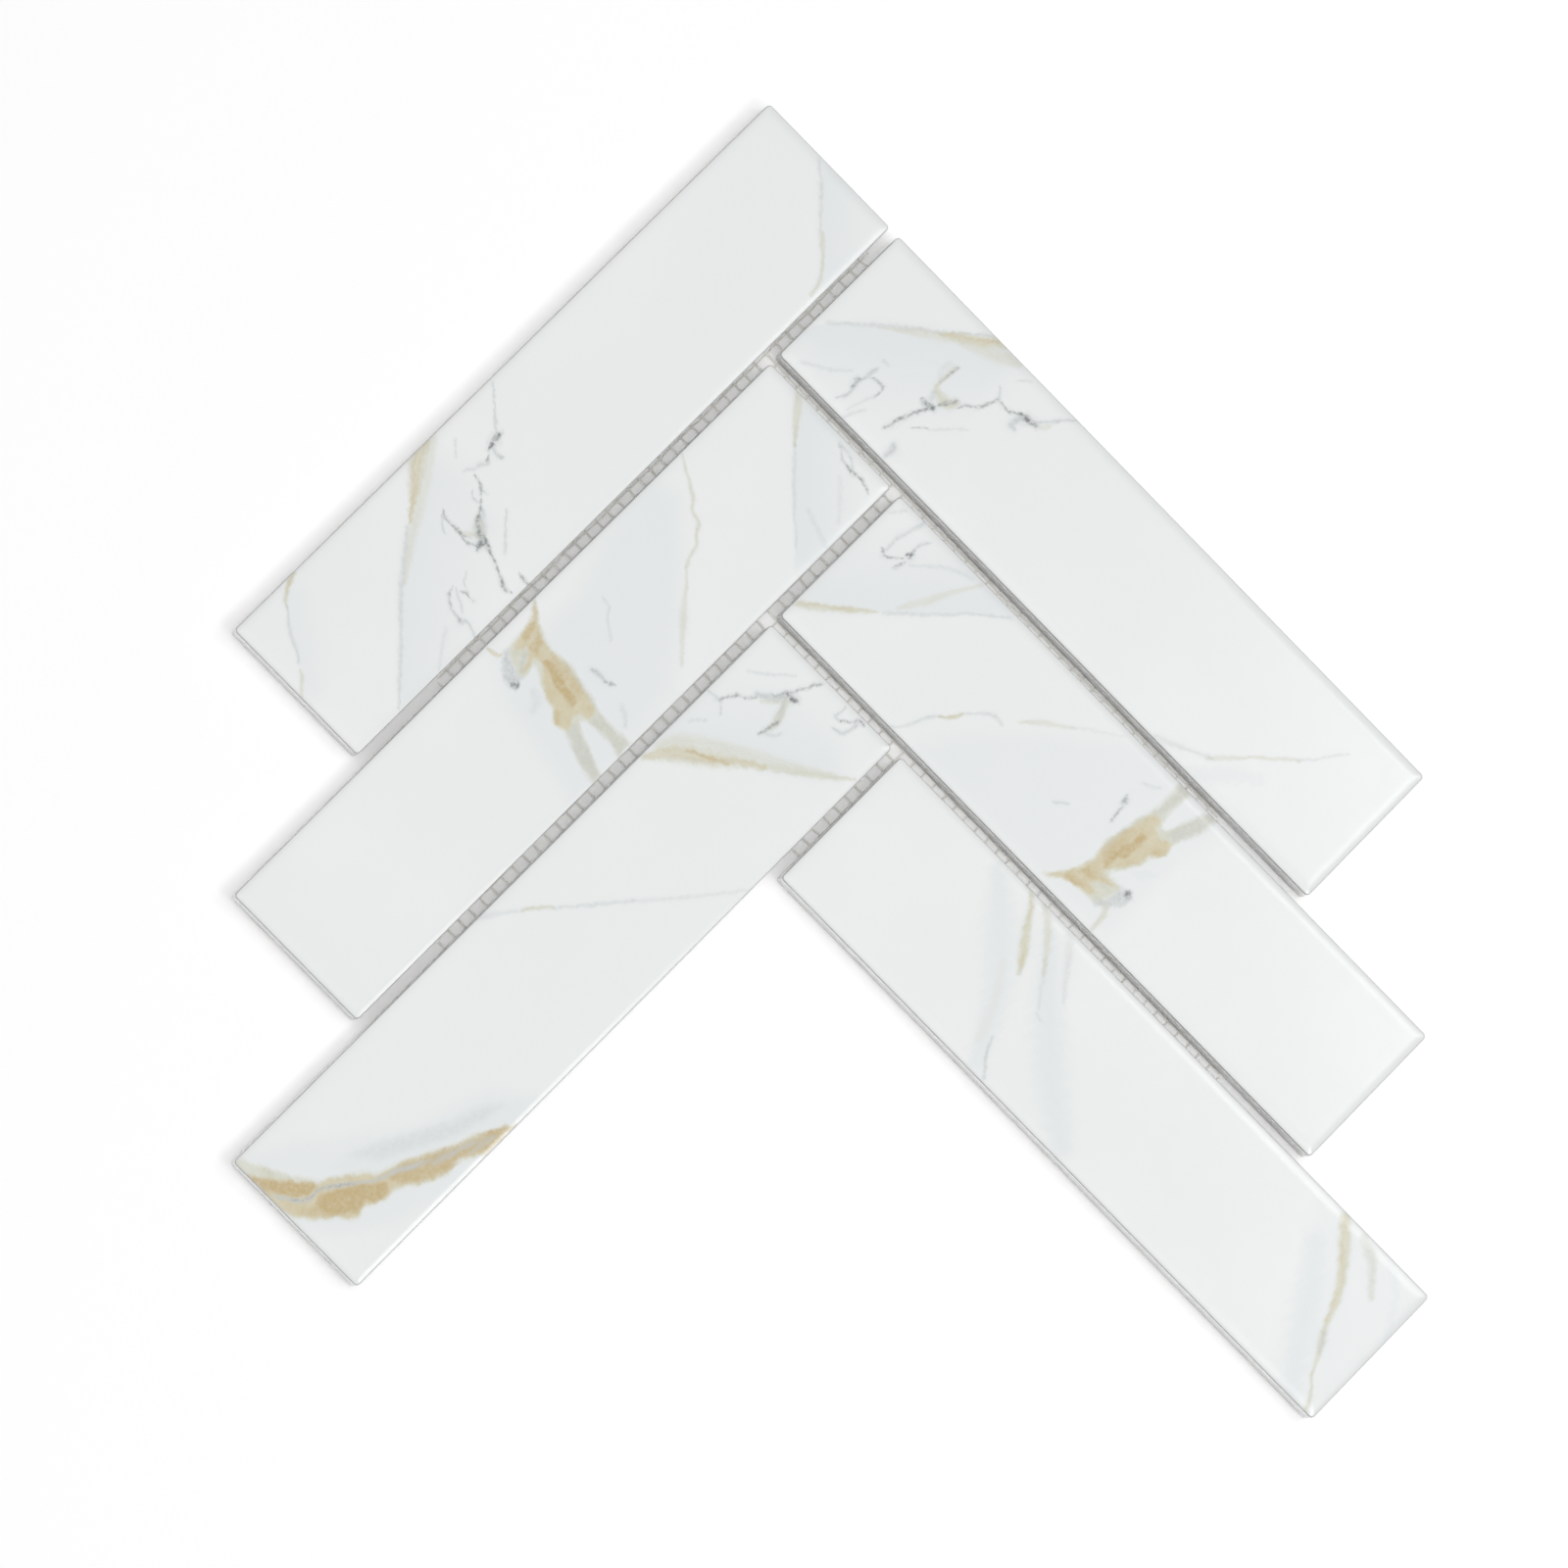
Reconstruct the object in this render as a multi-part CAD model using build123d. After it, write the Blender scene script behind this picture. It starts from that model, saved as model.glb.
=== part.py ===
"""Herringbone sheet of long glass mosaic tiles on a backing mesh.

The sheet lies flat with its printed faces up. X runs across the sheet, Y up the sheet to the
point of the chevron, and Z is zero at the underside of the mesh.
"""
import os
from math import ceil, floor, sqrt

from build123d import *

# Tile sizes in millimetres
TILE_LENGTH = 200.0
TILE_WIDTH = 45.5
TILE_THICKNESS = 8.0
CORNER_RADIUS = 1.2
TOP_EDGE_RADIUS = 0.8
BOTTOM_EDGE_CHAMFER = 0.3
ROLL_WIDTH = 3.0
ROLL_DROP = 0.3
ROLL_OVERRUN = 1.5

# Layout of the sheet: the gap between neighbours, and the tiles in each arm of the chevron
JOINT = 3.2
ROW_NAMES = ["top", "middle", "bottom"]

# Backing mesh: two layers of flat threads, laid square to the tiles and bonded where they cross
MESH_PITCH = 4.0
THREAD_WIDTH = 0.6
THREAD_THICKNESS = 0.3
MESH_EDGE_INSET = 7.0
MESH_SIDE_INSET = 54.5

# Values that follow from the sizes above
ROWS = len(ROW_NAMES)
STEP = TILE_WIDTH + JOINT
MESH_THICKNESS = 2 * THREAD_THICKNESS
SHEET_WIDTH = (2 * TILE_LENGTH + STEP) / sqrt(2)
SHEET_HEIGHT = (TILE_LENGTH + TILE_WIDTH + (2 * ROWS - 1) * STEP) / sqrt(2)
SHORTEST_THREAD = 2 * MESH_PITCH
ROLL_RADIUS = (ROLL_WIDTH ** 2 + ROLL_DROP ** 2) / (2 * ROLL_DROP)


# The chevron grid stands at 45 degrees to the sheet. A place on it is given by its rise, measured up
# to the right, and its fall, measured down to the right, both from the left tip of the top left tile.
def on_sheet(rise, fall):
    x = (rise + fall) / sqrt(2) - SHEET_WIDTH / 2
    y = (rise - fall - TILE_LENGTH) / sqrt(2) + SHEET_HEIGHT / 2
    return x, y


def rise_and_fall(x, y):
    total = (x + SHEET_WIDTH / 2) * sqrt(2)
    difference = (y - SHEET_HEIGHT / 2) * sqrt(2) + TILE_LENGTH
    return (total + difference) / 2, (total - difference) / 2


# The pressed face of a tile is flat in the middle and rolls off gently towards its four edges
def roll_height(distance):
    """Height of the face at a distance out from where its roll-off starts."""
    return TILE_THICKNESS - ROLL_RADIUS + sqrt(ROLL_RADIUS ** 2 - distance ** 2)


def rolled_section(width):
    """Section of a face that rolls off on both sides, carried on past the tile's own width."""
    flat = width / 2 - ROLL_WIDTH
    reach = ROLL_WIDTH * ROLL_OVERRUN
    side = flat + reach
    middle_of_roll = flat + reach / 2
    bottom = -TILE_THICKNESS
    outline = Curve() + [
        Line((-side, bottom), (side, bottom)),
        Line((side, bottom), (side, roll_height(reach))),
        ThreePointArc(
            (side, roll_height(reach)), (middle_of_roll, roll_height(reach / 2)), (flat, TILE_THICKNESS)
        ),
        Line((flat, TILE_THICKNESS), (-flat, TILE_THICKNESS)),
        ThreePointArc(
            (-flat, TILE_THICKNESS), (-middle_of_roll, roll_height(reach / 2)), (-side, roll_height(reach))
        ),
        Line((-side, roll_height(reach)), (-side, bottom)),
    ]
    return make_face(outline)


def tile():
    plan = RectangleRounded(TILE_LENGTH, TILE_WIDTH, CORNER_RADIUS)
    block = extrude(plan, TILE_THICKNESS)
    block = fillet(block.faces().sort_by(Axis.Z)[-1].edges(), TOP_EDGE_RADIUS)
    block = chamfer(block.faces().sort_by(Axis.Z)[0].edges(), BOTTOM_EDGE_CHAMFER)
    rolled_sides = extrude(Plane.YZ * rolled_section(TILE_WIDTH), TILE_LENGTH, both=True)
    rolled_ends = extrude(Plane.XZ * rolled_section(TILE_LENGTH), TILE_WIDTH, both=True)
    return block & rolled_sides & rolled_ends


# A left tile runs up to the right, and a right tile runs down to the right from beside its end
def left_tile(row):
    x, y = on_sheet(TILE_LENGTH / 2 - row * STEP, TILE_WIDTH / 2 + row * STEP)
    return Location((x, y, MESH_THICKNESS), (0, 0, 45)) * tile()


def right_tile(row):
    rise = TILE_LENGTH - TILE_WIDTH / 2 - row * STEP
    fall = (row + 1) * STEP + TILE_LENGTH / 2
    x, y = on_sheet(rise, fall)
    return Location((x, y, MESH_THICKNESS), (0, 0, -45)) * tile()


# Outline of the mesh: a chevron inside the tiles' own outline, with both sides cut straight up the sheet
MESH_TOP_RISE = TILE_LENGTH - MESH_EDGE_INSET
MESH_TOP_FALL = MESH_EDGE_INSET
MESH_NOTCH_RISE = TILE_LENGTH - TILE_WIDTH - (ROWS - 1) * STEP + MESH_EDGE_INSET
MESH_NOTCH_FALL = TILE_WIDTH + (ROWS - 1) * STEP - MESH_EDGE_INSET
MESH_LEFT_SUM = MESH_SIDE_INSET * sqrt(2)
MESH_RIGHT_SUM = (SHEET_WIDTH - MESH_SIDE_INSET) * sqrt(2)


def rise_span(fall):
    """The mesh's first and last rise along a line of equal fall."""
    first = MESH_LEFT_SUM - fall
    last = min(MESH_TOP_RISE, MESH_RIGHT_SUM - fall)
    if fall > MESH_NOTCH_FALL:
        first = max(first, MESH_NOTCH_RISE)
    return first, last


def fall_span(rise):
    """The mesh's first and last fall along a line of equal rise."""
    first = max(MESH_TOP_FALL, MESH_LEFT_SUM - rise)
    last = MESH_RIGHT_SUM - rise
    if rise < MESH_NOTCH_RISE:
        last = min(last, MESH_NOTCH_FALL)
    return first, last


def mesh_lines(middle, first, last):
    """Thread positions one pitch apart, counted from the thread through the middle of the sheet."""
    lowest = ceil((first - middle) / MESH_PITCH)
    highest = floor((last - middle) / MESH_PITCH)
    return [middle + count * MESH_PITCH for count in range(lowest, highest + 1)]


def thread(start, end, height, angle):
    length = sqrt((end[0] - start[0]) ** 2 + (end[1] - start[1]) ** 2)
    middle = ((start[0] + end[0]) / 2, (start[1] + end[1]) / 2, height)
    bar = Box(length, THREAD_WIDTH, THREAD_THICKNESS, align=(Align.CENTER, Align.CENTER, Align.MIN))
    return Location(middle, (0, 0, angle)) * bar


MIDDLE_RISE, MIDDLE_FALL = rise_and_fall(0, 0)


def lower_threads():
    """Threads that run up to the right, on the floor side of the mesh."""
    threads = []
    for fall in mesh_lines(MIDDLE_FALL, MESH_TOP_FALL, MESH_RIGHT_SUM - MESH_NOTCH_RISE):
        first, last = rise_span(fall)
        if last - first > SHORTEST_THREAD:
            threads.append(thread(on_sheet(first, fall), on_sheet(last, fall), 0, 45))
    return threads


def upper_threads():
    """Threads that run down to the right, on the tile side of the mesh."""
    threads = []
    for rise in mesh_lines(MIDDLE_RISE, MESH_LEFT_SUM - MESH_NOTCH_FALL, MESH_TOP_RISE):
        first, last = fall_span(rise)
        if last - first > SHORTEST_THREAD:
            threads.append(thread(on_sheet(rise, first), on_sheet(rise, last), THREAD_THICKNESS, -45))
    return threads


# Each node is written to its own file
nodes = {}
for row, row_name in enumerate(ROW_NAMES):
    nodes["tile_left_" + row_name] = left_tile(row)
    nodes["tile_right_" + row_name] = right_tile(row)
nodes["mesh_lower_threads"] = Compound(children=lower_threads())
nodes["mesh_upper_threads"] = Compound(children=upper_threads())

os.makedirs("parts", exist_ok=True)
for name, shape in nodes.items():
    export_step(shape, "parts/" + name + ".step")
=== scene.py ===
"""Dresses the herringbone glass tile sheet: printed tiles, backing mesh, floor, light and camera."""

import math

import bpy
import numpy as np
from mathutils import Matrix, Vector


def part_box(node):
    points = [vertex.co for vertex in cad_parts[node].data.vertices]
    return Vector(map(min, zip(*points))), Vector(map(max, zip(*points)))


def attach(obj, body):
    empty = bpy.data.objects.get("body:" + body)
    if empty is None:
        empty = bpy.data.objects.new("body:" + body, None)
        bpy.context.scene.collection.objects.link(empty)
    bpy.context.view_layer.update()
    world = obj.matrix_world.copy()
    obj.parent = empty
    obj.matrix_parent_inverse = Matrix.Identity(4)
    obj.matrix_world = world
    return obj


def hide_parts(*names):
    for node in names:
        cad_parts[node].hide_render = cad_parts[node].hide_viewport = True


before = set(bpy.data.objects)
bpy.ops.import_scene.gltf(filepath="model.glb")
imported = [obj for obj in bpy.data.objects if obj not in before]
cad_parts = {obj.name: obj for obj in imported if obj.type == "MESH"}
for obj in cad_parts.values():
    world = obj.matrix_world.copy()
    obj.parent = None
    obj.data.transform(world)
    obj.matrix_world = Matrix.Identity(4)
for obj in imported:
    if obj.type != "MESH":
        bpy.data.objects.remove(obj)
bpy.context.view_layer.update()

MM = 0.001

# Tile sizes in millimetres, the same as the solids have
TILE_LENGTH = 200.0
TILE_WIDTH = 45.5
TILE_THICKNESS = 8.0
CORNER_RADIUS = 1.2
ARRIS_RADIUS = 0.8
BOTTOM_CHAMFER = 0.3
ROLL_WIDTH = 3.0
ROLL_DROP = 0.3
ROLL_RADIUS = (ROLL_WIDTH ** 2 + ROLL_DROP ** 2) / (2 * ROLL_DROP)

# How the rolled sides of the face run into each other at its corners: the higher, the sharper the hip
HIP_BLEND = 4.0

# Turns of what runs up to the right on the sheet and of what runs down to the right, in degrees
UP_TO_RIGHT = 45
DOWN_TO_RIGHT = -45

# Grid of a tile's face: its lines close in at the edges, and along the tile where thin veins cross
EDGE_INSETS = [0.0, 0.03, 0.1, 0.2, 0.34, 0.55, 0.9, 1.3, 1.8, 2.4, 3.0]
FINE_STEP = 0.4
COARSE_STEP = 1.0
FINE_MARGIN = 2.0
SHARP_EDGE = math.radians(50)

# Painted shade at the edges of the face, in millimetres in from the edge: a faint darkening over the rolled
# rim, and a dark line along the arris
RIM_SHADE_STRENGTH = 0.3
RIM_SHADE_WIDTH = 2.6
ARRIS_SHADE_FULL = 0.1
ARRIS_SHADE_FADE = 0.25

# Backing mesh in millimetres: its pitch, and the flat oval threads, which wander a little in long waves
MESH_PITCH = 4.0
THREAD_HALF_WIDTH = 0.3
THREAD_HALF_HEIGHT = 0.15
THREAD_SIDES = 8
THREAD_STEP = 2.0
THREAD_WANDER = 0.14
THREAD_WAVES = (16, 30)
THREAD_SEED = 100
THREAD_EASE_STEPS = 3
THREAD_SHARP_EDGE = math.radians(60)

# White glass: how far light spreads inside it, in metres, and its refractive index
GLASS_DEPTH = 0.012
GLASS_INDEX = 1.5

# Camera, in metres: where it stands, which way it looks and which way is up in the picture
CAMERA_PLACE = (-0.4196, -0.1976, 2.2425)
CAMERA_LOOK = (0.1780, 0.0837, -0.9805)
CAMERA_UP = (-0.0115, 0.9965, 0.0830)
CAMERA_LENS = 200.0
CAMERA_SENSOR = 36.0
CAMERA_REACH = (0.01, 20.0)

# Light: a white room with a bright ceiling and a glow all round at its walls, and two soft boxes: one to
# the right of the sheet, and one that looks along the joints of the right-hand tiles
CEILING_GLOW = 3.1
CEILING_FALLOFF = 10.0
WALL_GLOW = 0.8
SOFT_BOXES = [
    {"name": "right_soft_box", "place": (0.745, 0.085, 1.5), "size": (0.36, 0.44), "power": 2.4},
    {"name": "joint_soft_box", "place": (0.5, -0.5, 1.6), "size": (0.4, 0.4), "power": 3.8},
]
FLOOR_SIZE = 6.0
FLOOR_GAP = 0.00002
FLOOR_WHITE = 0.88
FLOOR_LIFT = 0.155

# Colours as they look in the photo, in screen values from 0 to 255
PLAIN = (226, 229, 228)
PLAIN_WARM = (229, 230, 230)
HAZE = (218, 222, 223)
OLIVE = (197, 197, 178)
OLIVE_PALE = (209, 210, 196)
GOLD = (196, 181, 142)
GOLD_PALE = (205, 197, 168)
DEEP = (184, 161, 108)
GREY = (184, 189, 188)
DARK = (120, 125, 126)
RIM_SHADE = (210, 213, 213)
ARRIS_SHADE = (176, 178, 176)
WALL = (250, 250, 248)
WALL_SHADE = (245, 245, 243)
THREAD = (246, 245, 241)
THREAD_SHADE = (234, 232, 227)

# Corners of each tile's face in the photo, in pixels: the near corner on its right-hand side when
# the tile runs away from it, the corner along the tile, and the corner across it
PHOTO_CORNERS = {
    "tile_left_top": ((365, 769), (909, 235), (242, 647)),
    "tile_left_middle": ((363, 1038), (908, 498), (240, 915)),
    "tile_left_bottom": ((359, 1312), (907, 757), (234, 1187)),
    "tile_right_top": ((797, 365), (1336, 907), (920, 245)),
    "tile_right_middle": ((792, 628), (1338, 1179), (918, 507)),
    "tile_right_bottom": ((790, 893), (1338, 1454), (915, 772)),
}

# How each kind of vein stroke is laid: the layer it prints on, how much wider than its traced core it
# spreads, how far its edge fades in as a share of its half width, how far its path wanders in millimetres,
# and a wider, weaker halo on another layer, given as the layer, how much wider it is and its share of the
# strength. A side haze lies only on the right of its path.
STROKE_KINDS = {
    "haze": {"layer": "haze", "spread": 1.0, "fade": 1.0, "wander": 0.5},
    "side_haze": {"layer": "haze", "spread": 1.0, "fade": 1.0, "wander": 0.12, "sided": True},
    "olive": {"layer": "olive", "spread": 1.5, "fade": 0.9, "wander": 0.12, "halo": ("haze", 2.0, 0.6)},
    "gold": {"layer": "gold", "spread": 1.4, "fade": 0.8, "wander": 0.2, "halo": ("olive", 1.4, 1.0)},
    "deep": {"layer": "deep", "spread": 1.3, "fade": 0.8, "wander": 0.2},
    "grey": {"layer": "grey", "spread": 1.7, "fade": 1.0, "wander": 0.15, "halo": ("haze", 2.5, 0.7)},
    "dark": {"layer": "dark", "spread": 1.2, "fade": 0.9, "wander": 0.18, "halo": ("grey", 2.5, 0.5)},
}
SOFT_HALO = {"fade": 1.0}
GOLD_STROKE_SHARE = 0.6
LAYERS = ["haze", "olive", "gold", "deep", "grey", "dark"]
STREAKED_LAYERS = ["olive", "gold", "deep"]

# Strokes thinner than this, in photo pixels, have the finer grid under them
THIN_STROKE = 8

# Steps along a stroke's path, the least half width of a stroke, and how sharp the straight side of a side
# haze is, all in millimetres. A side haze fades in over an eighth of its length at both ends.
PATH_STEP = 0.7
NARROWEST = 0.05
SIDE_EDGE = 0.35
SIDE_ENDS = 8

# How far round a stroke or patch the face is looked at: in widths or soft edges, and in wanders
NEAR_WIDTHS = 2
NEAR_WANDERS = 3

# Least values that keep a division from failing
SHORTEST_RUN = 1e-6
TINY = 1e-9

# Waves that make a stroke's edge uneven: wavelength in millimetres, and share of the wander
WANDER_WAVES = ((4.0, 0.5), (2.0, 0.4), (1.1, 0.3))
WANDER_REPEATS = 3
WANDER_SEED = 4

# How fine the streaks in the gold and olive are, along and across a vein and in a patch, and how far apart
# the streaks of two veins are drawn
STREAK_ALONG = 0.12
STREAK_ACROSS = 0.9
STREAK_IN_PATCH = 0.25
STREAK_APART = 7.3

# Veins of the printed face: kind, strength, and the path as (x, y, width) in photo pixels
LEFT_TOP_VEINS = [
    ("side_haze", 0.7, (409, 743, 60), (409, 663, 90), (411, 593, 110), (422, 523, 110), (438, 455, 90)),
    ("olive", 0.5, (442, 455, 10), (436, 478, 14), (432, 503, 14), (426, 528, 14), (420, 553, 12),
     (416, 578, 8), (413, 598, 5)),
    ("gold", 0.9, (434, 457, 12), (426, 475, 14), (424, 493, 12), (423, 509, 9), (420, 527, 6),
     (418, 539, 2)),
    ("grey", 0.5, (416, 543, 3), (413, 568, 5), (411, 588, 5), (409, 608, 5), (409, 643, 4), (408, 683, 4),
     (407, 723, 2)),
    ("grey", 0.6, (503, 398, 2), (504, 423, 2), (505, 437, 2.5), (506, 446, 3)),
    ("dark", 1.0, (510, 448, 4), (506, 453, 7), (502, 459, 7), (498, 464, 4)),
    ("grey", 0.8, (503, 464, 3), (506, 470, 4), (512, 473, 3)),
    ("dark", 0.7, (498, 469, 2), (497, 476, 4)),
    ("grey", 0.6, (485, 483, 3), (490, 480, 5), (498, 480, 3)),
    ("grey", 0.5, (472, 487, 2), (478, 485, 3), (484, 485, 2)),
    ("dark", 0.6, (484, 490, 2), (488, 497, 2.5), (490, 503, 3), (489, 511, 2), (490, 519, 2.5),
     (489, 528, 3), (487, 536, 3.5)),
    ("grey", 0.6, (490, 505, 2), (494, 507, 2), (499, 510, 1)),
    ("grey", 0.7, (482, 506, 2), (482, 513, 2.5), (487, 517, 2)),
    ("grey", 0.6, (492, 525, 4), (490, 543, 12), (488, 559, 6)),
    ("olive", 0.7, (486, 531, 4), (488, 543, 14), (492, 555, 8)),
    ("dark", 0.75, (487, 531, 2), (487, 543, 4), (490, 551, 4), (491, 559, 4)),
    ("dark", 1.0, (495, 556, 4), (489, 560, 8), (486, 565, 3)),
    ("dark", 0.75, (492, 548, 2), (496, 559, 3.5), (501, 570, 3.5), (506, 583, 3), (511, 596, 4),
     (514, 603, 4), (519, 607, 2)),
    ("dark", 0.6, (452, 526, 2), (454, 533, 3.5), (460, 539, 3), (466, 545, 2.5), (472, 550, 2.5),
     (479, 553, 2)),
    ("grey", 0.6, (451, 530, 2), (451, 541, 2.5), (454, 549, 2)),
    ("dark", 0.5, (468, 544, 1.5), (472, 553, 2), (478, 559, 2.5), (486, 561, 2.5)),
    ("olive", 0.7, (468, 546, 3), (476, 549, 5), (486, 550, 6)),
    ("grey", 0.5, (516, 525, 2), (515, 543, 3), (514, 567, 3)),
    ("grey", 0.4, (464, 455, 2), (465, 473, 2)),
    ("dark", 0.6, (529, 588, 2), (533, 594, 4.5), (539, 599, 2.5)),
    ("dark", 0.5, (460, 601, 2), (457, 611, 3), (459, 621, 3), (464, 630, 3), (469, 636, 5)),
    ("grey", 0.7, (469, 636, 5), (476, 636, 3), (481, 644, 3), (484, 652, 2)),
    ("dark", 0.5, (470, 607, 2), (475, 607, 3.5), (478, 611, 2.5), (483, 616, 3)),
    ("grey", 0.5, (464, 603, 2), (468, 615, 2.5), (472, 627, 2)),
    ("grey", 0.45, (475, 586, 2), (473, 598, 2), (476, 606, 2)),
    ("grey", 0.25, (454, 643, 4), (450, 663, 4), (448, 688, 3)),
    ("side_haze", 0.5, (314, 727, 30), (306, 678, 40), (295, 623, 40), (300, 591, 40)),
    ("gold", 0.9, (301, 590, 5), (297, 601, 5), (295, 610, 4)),
    ("olive", 0.9, (295, 609, 5), (293, 616, 5), (295, 624, 3)),
    ("grey", 0.5, (295, 623, 3), (297, 643, 3), (301, 657, 3.5), (305, 667, 3.5), (306, 678, 3)),
    ("olive", 0.7, (308, 686, 3), (310, 694, 5), (309, 706, 4), (313, 727, 3)),
    ("side_haze", 0.7, (828, 305, 40), (838, 268, 60), (838, 203, 60), (836, 168, 50)),
    ("grey", 0.4, (836, 168, 3), (837, 183, 3), (838, 195, 5), (838, 213, 4), (837, 228, 4), (837, 243, 4)),
    ("olive", 0.7, (839, 243, 5), (839, 255, 7), (839, 266, 5), (838, 283, 4), (834, 295, 4),
     (827, 305, 4)),
]
LEFT_MIDDLE_VEINS = [
    ("grey", 0.5, (535, 670, 3), (531, 680, 3), (530, 689, 3)),
    ("gold", 0.8, (495, 666, 2), (499, 670, 4), (504, 673, 4), (509, 673, 2)),
    ("grey", 0.9, (600, 686, 4), (608, 691, 5), (614, 697, 4)),
    ("dark", 0.5, (613, 698, 4), (620, 701, 4), (625, 703, 2)),
    ("grey", 0.35, (631, 722, 4), (634, 732, 6), (635, 743, 4)),
    ("grey", 0.35, (613, 615, 2), (618, 624, 3), (617, 637, 3), (620, 657, 3)),
    ("grey", 0.25, (541, 708, 7), (545, 718, 11), (541, 729, 7)),
    ("olive", 0.7, (694, 468, 2), (697, 482, 3), (701, 497, 3.5), (705, 514, 4), (704, 526, 4),
     (710, 537, 5), (708, 549, 3.5), (708, 561, 4), (701, 572, 4), (698, 582, 4)),
    ("olive", 0.55, (698, 582, 3), (697, 602, 4), (695, 617, 6), (694, 634, 8), (693, 650, 6),
     (692, 680, 4)),
    ("side_haze", 0.9, (806, 594, 50), (809, 552, 80), (807, 502, 90), (809, 452, 80), (812, 402, 70)),
    ("olive", 0.8, (814, 402, 9), (812, 422, 10), (810, 442, 7), (809, 458, 4)),
    ("grey", 0.35, (809, 457, 4), (808, 482, 5), (808, 502, 5), (808, 524, 4), (810, 562, 3)),
    ("grey", 0.25, (822, 522, 6), (832, 542, 6), (840, 559, 5)),
    ("grey", 0.2, (855, 490, 6), (855, 512, 6), (853, 534, 5)),
    ("grey", 0.7, (854, 454, 2), (857, 462, 2.5), (857, 470, 3), (863, 478, 3)),
    ("grey", 0.6, (857, 457, 2), (864, 466, 2), (868, 474, 2.5), (868, 481, 2.5)),
    ("dark", 0.7, (862, 477, 2.5), (867, 484, 5), (873, 487, 3.5), (878, 491, 2.5)),
    ("dark", 0.5, (878, 491, 2.5), (881, 497, 2.5), (884, 504, 2)),
]
LEFT_BOTTOM_VEINS = [
    ("side_haze", 0.8, (865, 790, 60), (807, 787, 100), (737, 779, 120), (652, 773, 110)),
    ("grey", 0.5, (717, 702, 3), (723, 706, 3.5), (729, 712, 3.5), (729, 725, 3)),
    ("dark", 0.55, (723, 711, 2.5), (732, 710, 2.5), (739, 707, 3.5), (747, 706, 3.5), (755, 708, 3),
     (763, 708, 4), (768, 707, 2)),
    ("grey", 0.8, (767, 704, 4), (777, 707, 6), (787, 708, 7), (797, 705, 6)),
    ("olive", 0.6, (771, 711, 4), (781, 712, 6), (791, 711, 6)),
    ("dark", 0.6, (782, 705, 2.5), (790, 705, 4), (797, 703, 4)),
    ("dark", 0.6, (797, 704, 4), (805, 701, 3.5), (815, 698, 3.5), (825, 695, 3.5), (834, 692, 3)),
    ("dark", 1.0, (799, 704, 4), (802, 708, 7), (807, 710, 6), (811, 712, 3)),
    ("olive", 0.8, (798, 709, 6), (794, 718, 9), (790, 727, 10), (785, 735, 8), (778, 741, 5)),
    ("grey", 0.6, (796, 710, 4), (793, 720, 6), (788, 730, 6)),
    ("dark", 0.7, (788, 733, 3), (781, 738, 4), (774, 742, 4.5), (769, 745, 3)),
    ("grey", 0.5, (776, 746, 3), (785, 747, 4), (792, 744, 3)),
    ("grey", 0.45, (757, 681, 2), (777, 684, 3), (789, 684, 2.5), (807, 685, 2.5)),
    ("grey", 0.45, (696, 734, 2), (703, 732, 3), (715, 732, 2)),
    ("grey", 0.7, (858, 717, 2.5), (852, 722, 3.5), (847, 726, 3), (854, 731, 2.5)),
    ("dark", 0.7, (853, 731, 2), (863, 731, 2), (873, 731, 4.5), (877, 734, 3)),
    ("grey", 0.7, (870, 735, 3), (862, 740, 3), (854, 743, 3.5), (845, 738, 3)),
    ("olive", 0.55, (665, 760, 8), (682, 752, 12), (702, 753, 14), (732, 760, 15), (762, 767, 14),
     (792, 776, 13), (822, 783, 11), (847, 787, 6)),
    ("gold", 0.85, (651, 771, 5), (669, 767, 13), (687, 766, 17), (705, 769, 16), (723, 772, 14),
     (742, 774, 11), (759, 776, 9), (775, 780, 5)),
    ("deep", 0.6, (695, 763, 4), (712, 769, 5), (727, 774, 5), (737, 776, 3)),
    ("olive", 0.8, (773, 779, 7), (797, 782, 8), (822, 786, 7), (847, 789, 5), (867, 790, 3)),
    ("grey", 0.35, (480, 938, 4), (492, 935, 6), (505, 932, 4), (522, 930, 3)),
    ("olive", 0.9, (526, 929, 4), (537, 927, 4), (548, 926, 4.5), (558, 926, 3)),
    ("grey", 0.45, (558, 926, 3), (584, 924, 3.5), (612, 921, 3.5), (640, 918, 3.5)),
    ("grey", 0.3, (640, 918, 3.5), (690, 914, 3.5), (730, 909, 3), (766, 904, 2)),
    ("grey", 0.9, (276, 1221, 4), (290, 1224, 5), (303, 1226, 5), (312, 1222, 4), (320, 1215, 4),
     (332, 1211, 4), (346, 1209, 4), (360, 1207, 4), (375, 1205, 4), (388, 1200, 4), (400, 1194, 4),
     (412, 1191, 4), (425, 1185, 3)),
    ("dark", 0.45, (294, 1224, 2), (304, 1225, 3), (314, 1220, 3), (324, 1213, 3), (340, 1210, 3),
     (356, 1208, 2)),
    ("grey", 0.6, (436, 1187, 5), (450, 1180, 5), (464, 1172, 4), (476, 1165, 3)),
    ("grey", 0.6, (472, 1176, 3), (486, 1168, 4), (500, 1158, 3)),
]
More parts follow.
